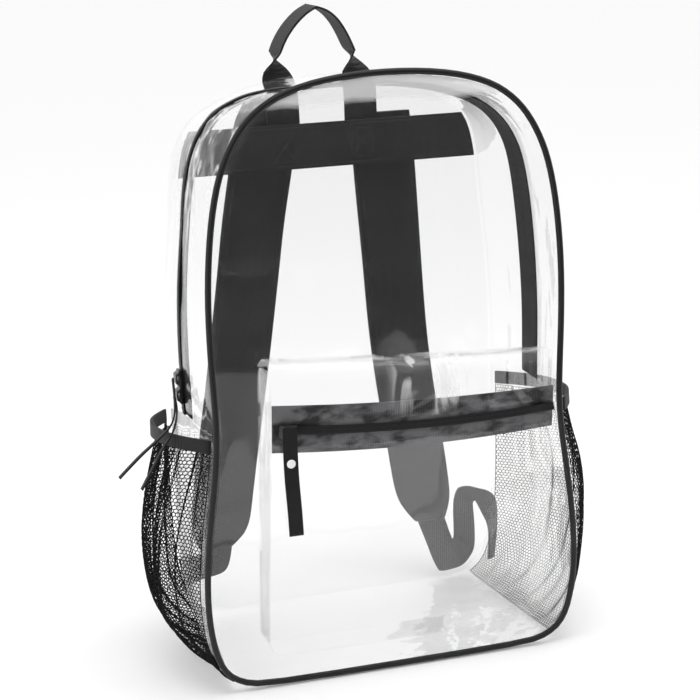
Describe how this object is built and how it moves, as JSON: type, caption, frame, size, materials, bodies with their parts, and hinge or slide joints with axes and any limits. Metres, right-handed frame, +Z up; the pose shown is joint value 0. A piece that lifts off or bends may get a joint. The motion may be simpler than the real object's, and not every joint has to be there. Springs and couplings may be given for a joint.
{
  "type": "clear stadium backpack",
  "caption": "Clear vinyl backpack with black piping, zippers, padded shoulder straps, a zipped front pocket and mesh side pockets, standing on its base.",
  "frame": {"origin": "middle of the flat underside of the base gusset", "axes": "x to the right seen from the front, y from the front panel to the wearer's back, z up"},
  "size_m": [0.3587, 0.218, 0.4636],
  "materials": {
    "clear_vinyl": "glossy",
    "black_piping": "satin",
    "black_zipper": "matte",
    "black_metal": "satin",
    "black_webbing": "matte",
    "black_padding_cloth": "matte",
    "white_rivet": "glossy",
    "black_net": "matte",
    "black_elastic": "matte"
  },
  "bodies": {
    "root": {"front_panel": "clear_vinyl", "back_panel": "clear_vinyl", "gusset_front_strip": "clear_vinyl", "gusset_back_strip": "clear_vinyl", "base_gusset": "clear_vinyl", "back_seam": "clear_vinyl", "pocket_gusset": "clear_vinyl", "pocket_face_lower": "clear_vinyl", "pocket_face_upper": "clear_vinyl", "front_piping": "black_piping", "main_zipper_tape_front": "black_zipper", "main_zipper_tape_back": "black_zipper", "main_zipper_coil": "black_zipper", "pocket_zipper_tape_upper": "black_zipper", "pocket_zipper_tape_lower": "black_zipper", "pocket_zipper_coil": "black_zipper", "main_slider_upper": "black_metal", "main_slider_lower": "black_metal", "pocket_slider": "black_metal", "main_pull_upper": "black_webbing", "main_pull_lower": "black_webbing", "haul_loop": "black_webbing", "strap_webbing_right": "black_webbing", "strap_webbing_left": "black_webbing", "pocket_pull": "black_webbing", "yoke_band": "black_webbing", "shoulder_strap_right": "black_padding_cloth", "shoulder_strap_left": "black_padding_cloth", "pull_rivet": "white_rivet", "mesh_pocket_left": "black_net", "mesh_pocket_right": "black_net", "mesh_hem_left": "black_elastic", "mesh_hem_right": "black_elastic"}
  },
  "joints": []
}
